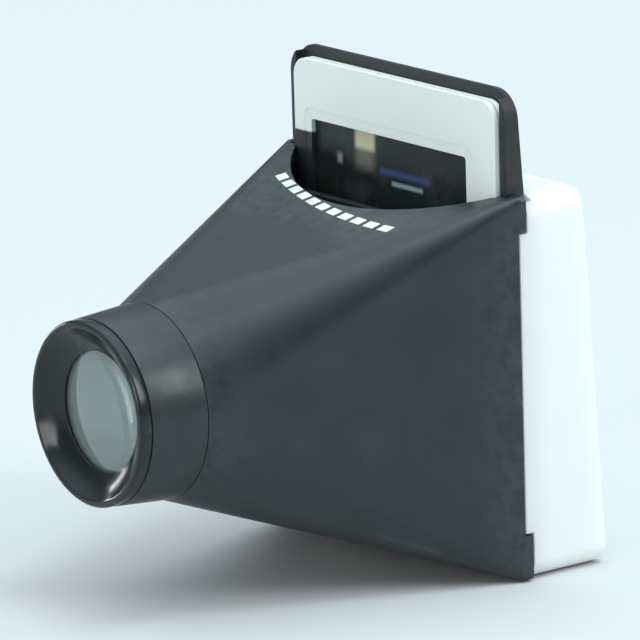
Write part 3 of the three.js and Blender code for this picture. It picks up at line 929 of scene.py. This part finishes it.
def box_rings():
    """The box's outline at its front, and its back edge rolled over in a quarter circle."""
    outline = rounded_outline(-BOX_HALF, BOX_HALF, 0, BOX_TOP, BOX_CORNER, BOX_CORNER, 10)
    rings = [[(x, GAP, z) for x, z in outline]]
    mid_z = BOX_TOP / 2
    steps = 7
    for i in range(steps + 1):
        turn = math.pi / 2 * i / steps
        shrink = BOX_BACK_ROUND * (1 - math.cos(turn))
        rise = BOX_BACK_ROUND * (1 - math.sin(turn))
        ring = []
        for x, z in outline:
            inner_x = x - x * shrink / BOX_HALF
            inner_z = z + (mid_z - z) * shrink / mid_z
            ring.append((inner_x, box_back(inner_z) - rise, inner_z))
        rings.append(ring)
    return rings


def build_light_box():
    """The opal box: a chamber, a slot for the carrier, and rebates for the body's sill and ears."""
    shell = ring_loft("opal_box", box_rings())
    inner = BOX_HALF - BOX_WALL
    chamber = rounded_outline(-inner, inner, BOX_WALL, BOX_TOP - BOX_WALL, 1.5, 1.5, 6)
    boolean(shell, plate("cutter", chamber, 0, lambda z: box_back(z, BOX_WALL)))
    slot_half = BOX_HALF - BOX_LIP
    above = BOX_TOP + BEYOND
    boolean(shell, block(-slot_half, slot_half, -BEYOND, SLOT_BACK, BOX_WALL + GAP, above))
    outside, behind = BOX_HALF + BEYOND, REAR_REACH + GAP
    boolean(shell, block(-outside, outside, -BEYOND, behind, -BEYOND, SILL_TOP + GAP))
    boolean(shell, block(-outside, outside, -BEYOND, behind, EAR_BOTTOM - GAP, above))
    bevelled(shell, 0.25, angle=40)
    return dress(shell, OPAL, "viewer", "opal_plastic", "light_box")


def build_screen():
    """The flat diffusing sheet in the chamber."""
    low, high = BOX_WALL + GAP, BOX_TOP - BOX_WALL - GAP
    outline = rounded_outline(-SCREEN_HALF, SCREEN_HALF, low, high, 1.8, 1.8, 8)
    screen = bevelled(plate("diffusing_sheet", outline, SCREEN_FRONT, SCREEN_BACK), 0.15)
    return dress(screen, OPAL_SHEET, "viewer", "opal_sheet", "diffuser_screen")


build_body()
build_notch_marks()
build_barrel()
build_eye_ring()
build_lens()
build_lens_seat()
build_gate()
for side, label in ((-1, "left"), (1, "right")):
    build_spring(side, label)
    for level, height in zip(("lower", "upper"), SCREW_HEIGHTS):
        build_screw(side, label, level, height)
build_carrier()
build_mount("mount_front_half", "slide_mount_front", SLIDE_FRONT, SLIDE_FRONT + HALF_THICKNESS, -1)
build_mount("mount_rear_half", "slide_mount_rear", SLIDE_BACK - HALF_THICKNESS, SLIDE_BACK, 1)
build_film()
build_light_box()
build_screen()


# ---- stage, light and camera ----
def build_floor():
    """A wide pale floor just below the base."""
    bm = bmesh.new()
    bmesh.ops.create_grid(bm, x_segments=24, y_segments=24, size=3.0)
    floor = new_object("floor", bm)
    floor.location.z = -0.0002
    floor.data.materials.append(studio_paper("studio_paper"))


def softbox(name, target, direction, distance, width, height, power, colour=(1, 1, 1)):
    """A rectangular area light that shines at target from the given direction."""
    light = bpy.data.lights.new(name, "AREA")
    light.shape = "RECTANGLE"
    light.size = width
    light.size_y = height
    light.energy = power
    light.color = colour
    lamp = bpy.data.objects.new(name, light)
    away = Vector(direction).normalized()
    lamp.location = Vector(target) + away * distance
    lamp.rotation_mode = "QUATERNION"
    lamp.rotation_quaternion = away.to_track_quat("Z", "Y")
    bpy.context.scene.collection.objects.link(lamp)


def build_world():
    """A pale blue surround that is brighter overhead."""
    world = bpy.data.worlds.new("studio")
    world.use_nodes = True
    nodes, links = world.node_tree.nodes, world.node_tree.links
    background = nodes["Background"]
    background.inputs["Color"].default_value = (0.80, 0.93, 1.0, 1)
    direction = nodes.new("ShaderNodeTexCoord")
    height = nodes.new("ShaderNodeSeparateXYZ")
    brightness = nodes.new("ShaderNodeMapRange")
    brightness.interpolation_type = "SMOOTHSTEP"
    brightness.inputs["From Min"].default_value = 0.35
    brightness.inputs["To Min"].default_value = 0.32
    brightness.inputs["To Max"].default_value = 2.1
    links.new(direction.outputs["Generated"], height.inputs["Vector"])
    links.new(height.outputs["Z"], brightness.inputs["Value"])
    links.new(brightness.outputs["Result"], background.inputs["Strength"])
    bpy.context.scene.world = world


def build_light():
    build_world()
    target = (0, 0, 0.03)
    softbox("key_overhead", target, (0.34, 0.06, 1.0), 1.5, 0.35, 0.35, 5.0, (0.62, 0.87, 1.0))
    softbox("lens_strip", target, (-1.0, -0.14, 0.1), 1.4, 0.3, 0.4, 4.0)
    softbox("side_right", target, (0.9, 0.55, 0.6), 1.8, 0.6, 0.8, 8.5)
    softbox("front_fill", target, (0.35, -1.0, 0.3), 1.8, 0.6, 0.6, 6.0)


def build_camera():
    """Long lens, a little over half way round to the right of the eyepiece, slightly above."""
    azimuth, elevation, roll = math.radians(53.19), math.radians(13.91), math.radians(-1.70)
    distance = 1057.2 * MM
    shift_right, shift_up = 6.75 * MM, 12.84 * MM
    forward = Vector((
        -math.sin(azimuth) * math.cos(elevation),
        math.cos(azimuth) * math.cos(elevation),
        -math.sin(elevation),
    ))
    level_right = Vector((math.cos(azimuth), math.sin(azimuth), 0))
    level_up = level_right.cross(forward)
    right = level_right * math.cos(roll) + level_up * math.sin(roll)
    up = level_up * math.cos(roll) - level_right * math.sin(roll)
    aim = place(0, -25, 27) + right * shift_right + up * shift_up
    data = bpy.data.cameras.new("camera")
    data.sensor_width = 36.0
    data.lens = 390.1
    data.clip_start, data.clip_end = 0.01, 20.0
    camera = bpy.data.objects.new("camera", data)
    camera.rotation_mode = "QUATERNION"
    camera.rotation_quaternion = Matrix((right, up, -forward)).transposed().to_quaternion()
    camera.location = aim - forward * distance
    bpy.context.scene.collection.objects.link(camera)
    bpy.context.scene.camera = camera


build_floor()
build_light()
build_camera()
bpy.context.scene.view_settings.view_transform = "Standard"
